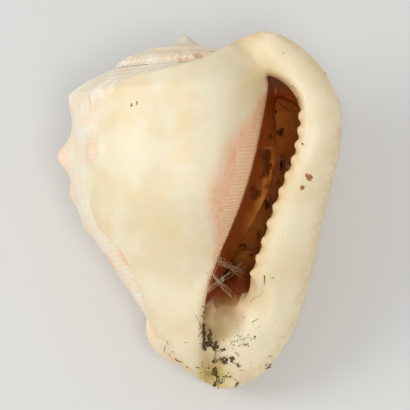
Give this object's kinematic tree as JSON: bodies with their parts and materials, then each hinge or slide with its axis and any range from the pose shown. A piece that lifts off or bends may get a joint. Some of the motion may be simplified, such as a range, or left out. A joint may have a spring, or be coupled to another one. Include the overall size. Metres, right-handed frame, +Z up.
{
  "type": "helmet shell",
  "caption": "Heavy rounded sea snail shell lying mouth up, with a low knobbed spire, a broad smooth shield, a thick toothed outer lip and a long narrow mouth.",
  "frame": {"origin": "middle of the bounding box's bottom face, on the ground that the shell rests on", "axes": "+Y from the front canal towards the spire, +X from the shield towards the outer lip, +Z up out of the mouth"},
  "size_m": [0.1442, 0.167, 0.1258],
  "materials": {
    "shell": "satin"
  },
  "bodies": {
    "root": {"shell": "shell"}
  },
  "joints": []
}
